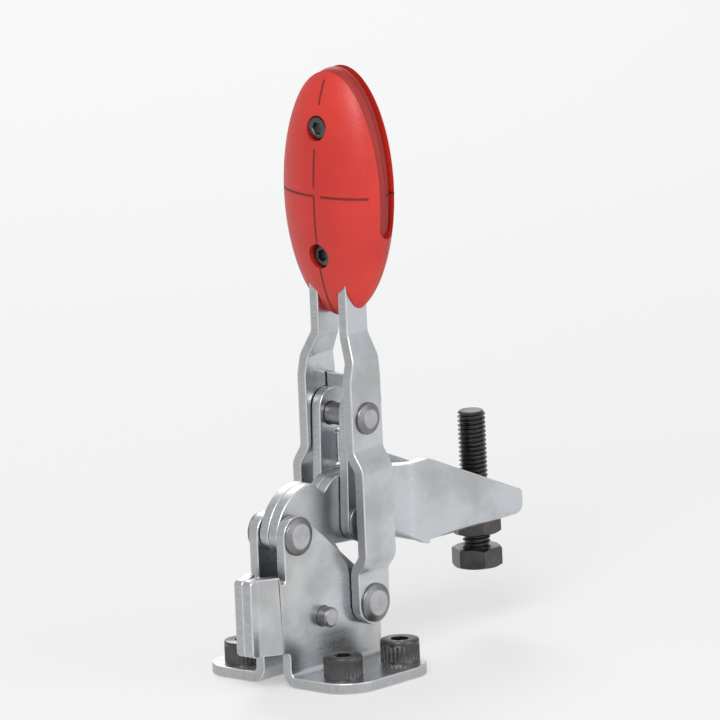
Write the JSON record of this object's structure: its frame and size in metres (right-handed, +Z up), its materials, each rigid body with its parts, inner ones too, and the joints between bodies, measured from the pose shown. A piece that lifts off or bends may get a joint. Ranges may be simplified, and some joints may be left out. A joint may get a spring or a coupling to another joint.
{
  "type": "toggle clamp",
  "caption": "Hold-down toggle clamp with an upright handle, a flanged bolt-down base, a link that locks past centre and an adjustable spindle in the nose of its arm.",
  "frame": {"origin": "centre of the four base holes, on the underside of the base", "axes": "+X forward along the holding arm, +Y to the clamp's left side, +Z up along the handle"},
  "size_m": [0.0674, 0.0366, 0.1084],
  "materials": {
    "zinc_steel": "zinc-plated stamped sheet",
    "rivet_steel": "burnished plain steel",
    "black_screw": "black oxide",
    "grip_red": "moulded, satin",
    "grip_black": "moulded, matte",
    "brass_insert": "turned"
  },
  "bodies": {
    "base": {"base_plate_left": "zinc_steel", "base_plate_right": "zinc_steel", "handle_stop_pin": "rivet_steel", "handle_pivot_spacer": "rivet_steel", "arm_pivot_rivet": "rivet_steel"},
    "handle": {"handle_plate_left": "zinc_steel", "handle_plate_right": "zinc_steel", "handle_pivot_rivet": "rivet_steel", "link_handle_rivet": "rivet_steel", "grip_front_shell": "grip_red", "grip_rear_shell": "grip_red", "grip_screws": "black_screw", "grip_inserts": "brass_insert", "grip_inlay": "grip_black"},
    "link": {"link": "zinc_steel", "arm_link_rivet": "rivet_steel"},
    "arm": {"arm": "zinc_steel", "arm_pivot_pin": "rivet_steel", "upper_lock_nut": "black_screw", "lower_lock_nut": "black_screw"},
    "spindle": {"spindle_bolt": "black_screw"}
  },
  "joints": [
    {"name": "handle_pivot", "type": "hinge", "parent": "base", "child": "handle", "pos_m": [0.0075, 0, 0.0119], "axis": [0, -1, 0], "range_deg": [0, 60]},
    {"name": "link_pivot", "type": "hinge", "parent": "handle", "child": "link", "pos_m": [0.0075, 0, 0.0455], "axis": [0, -1, 0], "range_deg": [0, 84.8]},
    {"name": "arm_link_pivot", "type": "hinge", "parent": "link", "child": "arm", "pos_m": [0.0072, 0, 0.0263], "axis": [0, 1, 0], "range_deg": [0, 50.13]},
    {"name": "spindle_height", "type": "slide", "parent": "arm", "child": "spindle", "axis": [0, 0, 1], "range_m": [-0.009, 0.0023]}
  ],
  "couplings": [
    {"joint": "link_pivot", "follows": "handle_pivot", "ratio": 1.4133},
    {"joint": "arm_link_pivot", "follows": "handle_pivot", "ratio": 0.8355}
  ]
}
